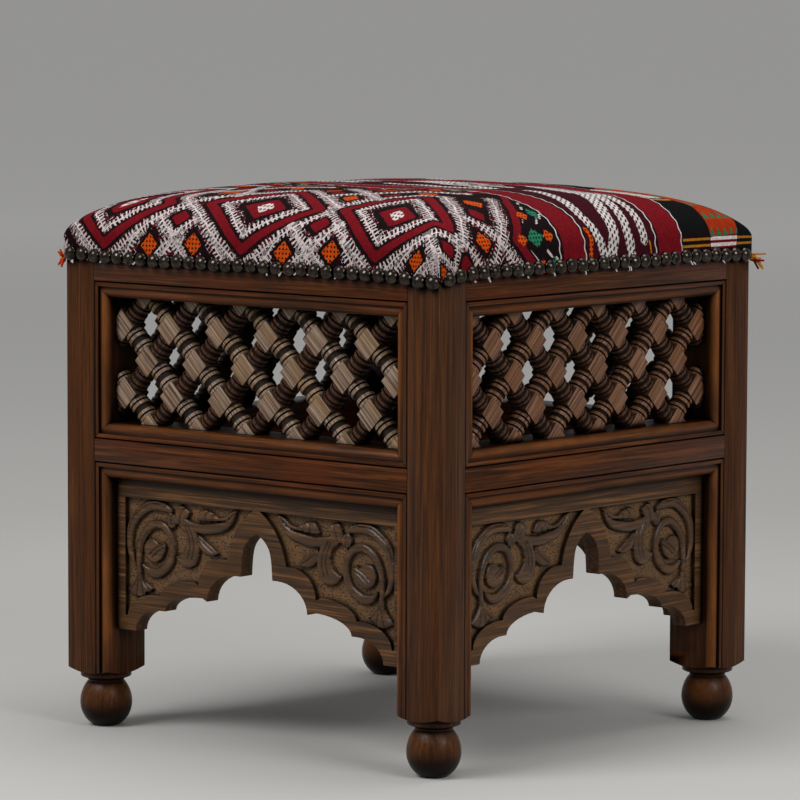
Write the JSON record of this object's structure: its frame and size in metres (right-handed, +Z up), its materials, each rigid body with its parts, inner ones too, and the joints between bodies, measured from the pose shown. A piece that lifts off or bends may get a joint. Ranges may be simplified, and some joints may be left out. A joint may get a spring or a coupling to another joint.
{
  "type": "kursi stool",
  "caption": "Square low stool with turned lattice screens over carved lobed arches, ball feet and a padded seat under a nailed woven cover.",
  "frame": {"origin": "on the floor under the middle of the seat", "axes": "+Z up; -Y is the front, the left of the two sides that the picture shows; +X is the other one"},
  "size_m": [0.404, 0.404, 0.449],
  "materials": {
    "stained_frame": "walnut-stained softwood, waxed to a satin",
    "stained_rods": "turned softwood, thinly stained, dull",
    "stained_carving": "hand-carved softwood, stained, dull in the hollows",
    "plywood": "bare plywood",
    "foam": "seat foam",
    "kilim": "flat-woven wool kilim",
    "bronze_nails": "antiqued domed heads"
  },
  "bodies": {
    "root": {"post_front_right": "stained_frame", "post_back_right": "stained_frame", "post_back_left": "stained_frame", "post_front_left": "stained_frame", "top_rail_front": "stained_frame", "top_rail_right": "stained_frame", "top_rail_back": "stained_frame", "top_rail_left": "stained_frame", "middle_rail_front": "stained_frame", "middle_rail_right": "stained_frame", "middle_rail_back": "stained_frame", "middle_rail_left": "stained_frame", "lattice_screen_front": "stained_rods", "lattice_screen_right": "stained_rods", "lattice_screen_back": "stained_rods", "lattice_screen_left": "stained_rods", "arch_panel_front": "stained_carving", "arch_panel_right": "stained_carving", "arch_panel_back": "stained_carving", "arch_panel_left": "stained_carving", "seat_board": "plywood", "seat_pad": "foam", "seat_cover": "kilim"}
  },
  "joints": []
}
